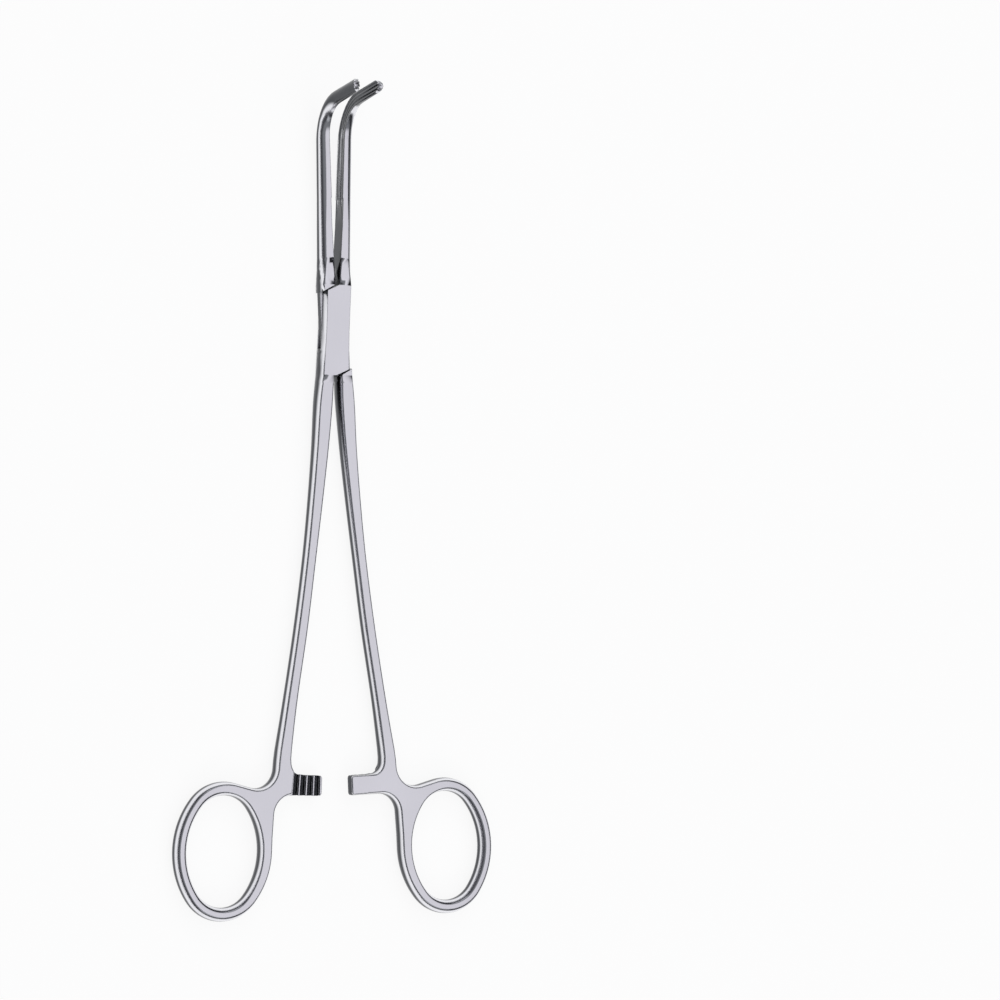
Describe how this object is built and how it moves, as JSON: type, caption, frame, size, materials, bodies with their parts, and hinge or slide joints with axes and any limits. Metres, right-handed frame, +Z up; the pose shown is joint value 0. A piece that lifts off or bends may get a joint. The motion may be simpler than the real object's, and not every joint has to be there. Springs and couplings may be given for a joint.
{
  "type": "right-angle hemostatic forceps",
  "caption": "Ring-handled locking clamp with a box lock pivot, a ratchet on the shanks and slender grooved jaws bent at a right angle.",
  "frame": {"origin": "pivot axis of the box lock, at the back face of the lock, which lies on the table", "axes": "+X to the right seen from the front, +Y along the instrument towards the jaws, +Z up from the table, the way that the jaw tips point"},
  "size_m": [0.0954, 0.2263, 0.0259],
  "materials": {
    "satin_steel": "satin flats with brighter, polished sides",
    "pin_steel": "ground flush with the box lock"
  },
  "bodies": {
    "box_side": {"box_half": "satin_steel", "lock_pin": "pin_steel"},
    "tongue_side": {"tongue_half": "satin_steel"}
  },
  "joints": [
    {"name": "lock_pivot", "type": "hinge", "parent": "box_side", "child": "tongue_side", "pos_m": [0, 0, 0.003], "axis": [0, 0, 1], "range_deg": [-4.7, 35]}
  ]
}
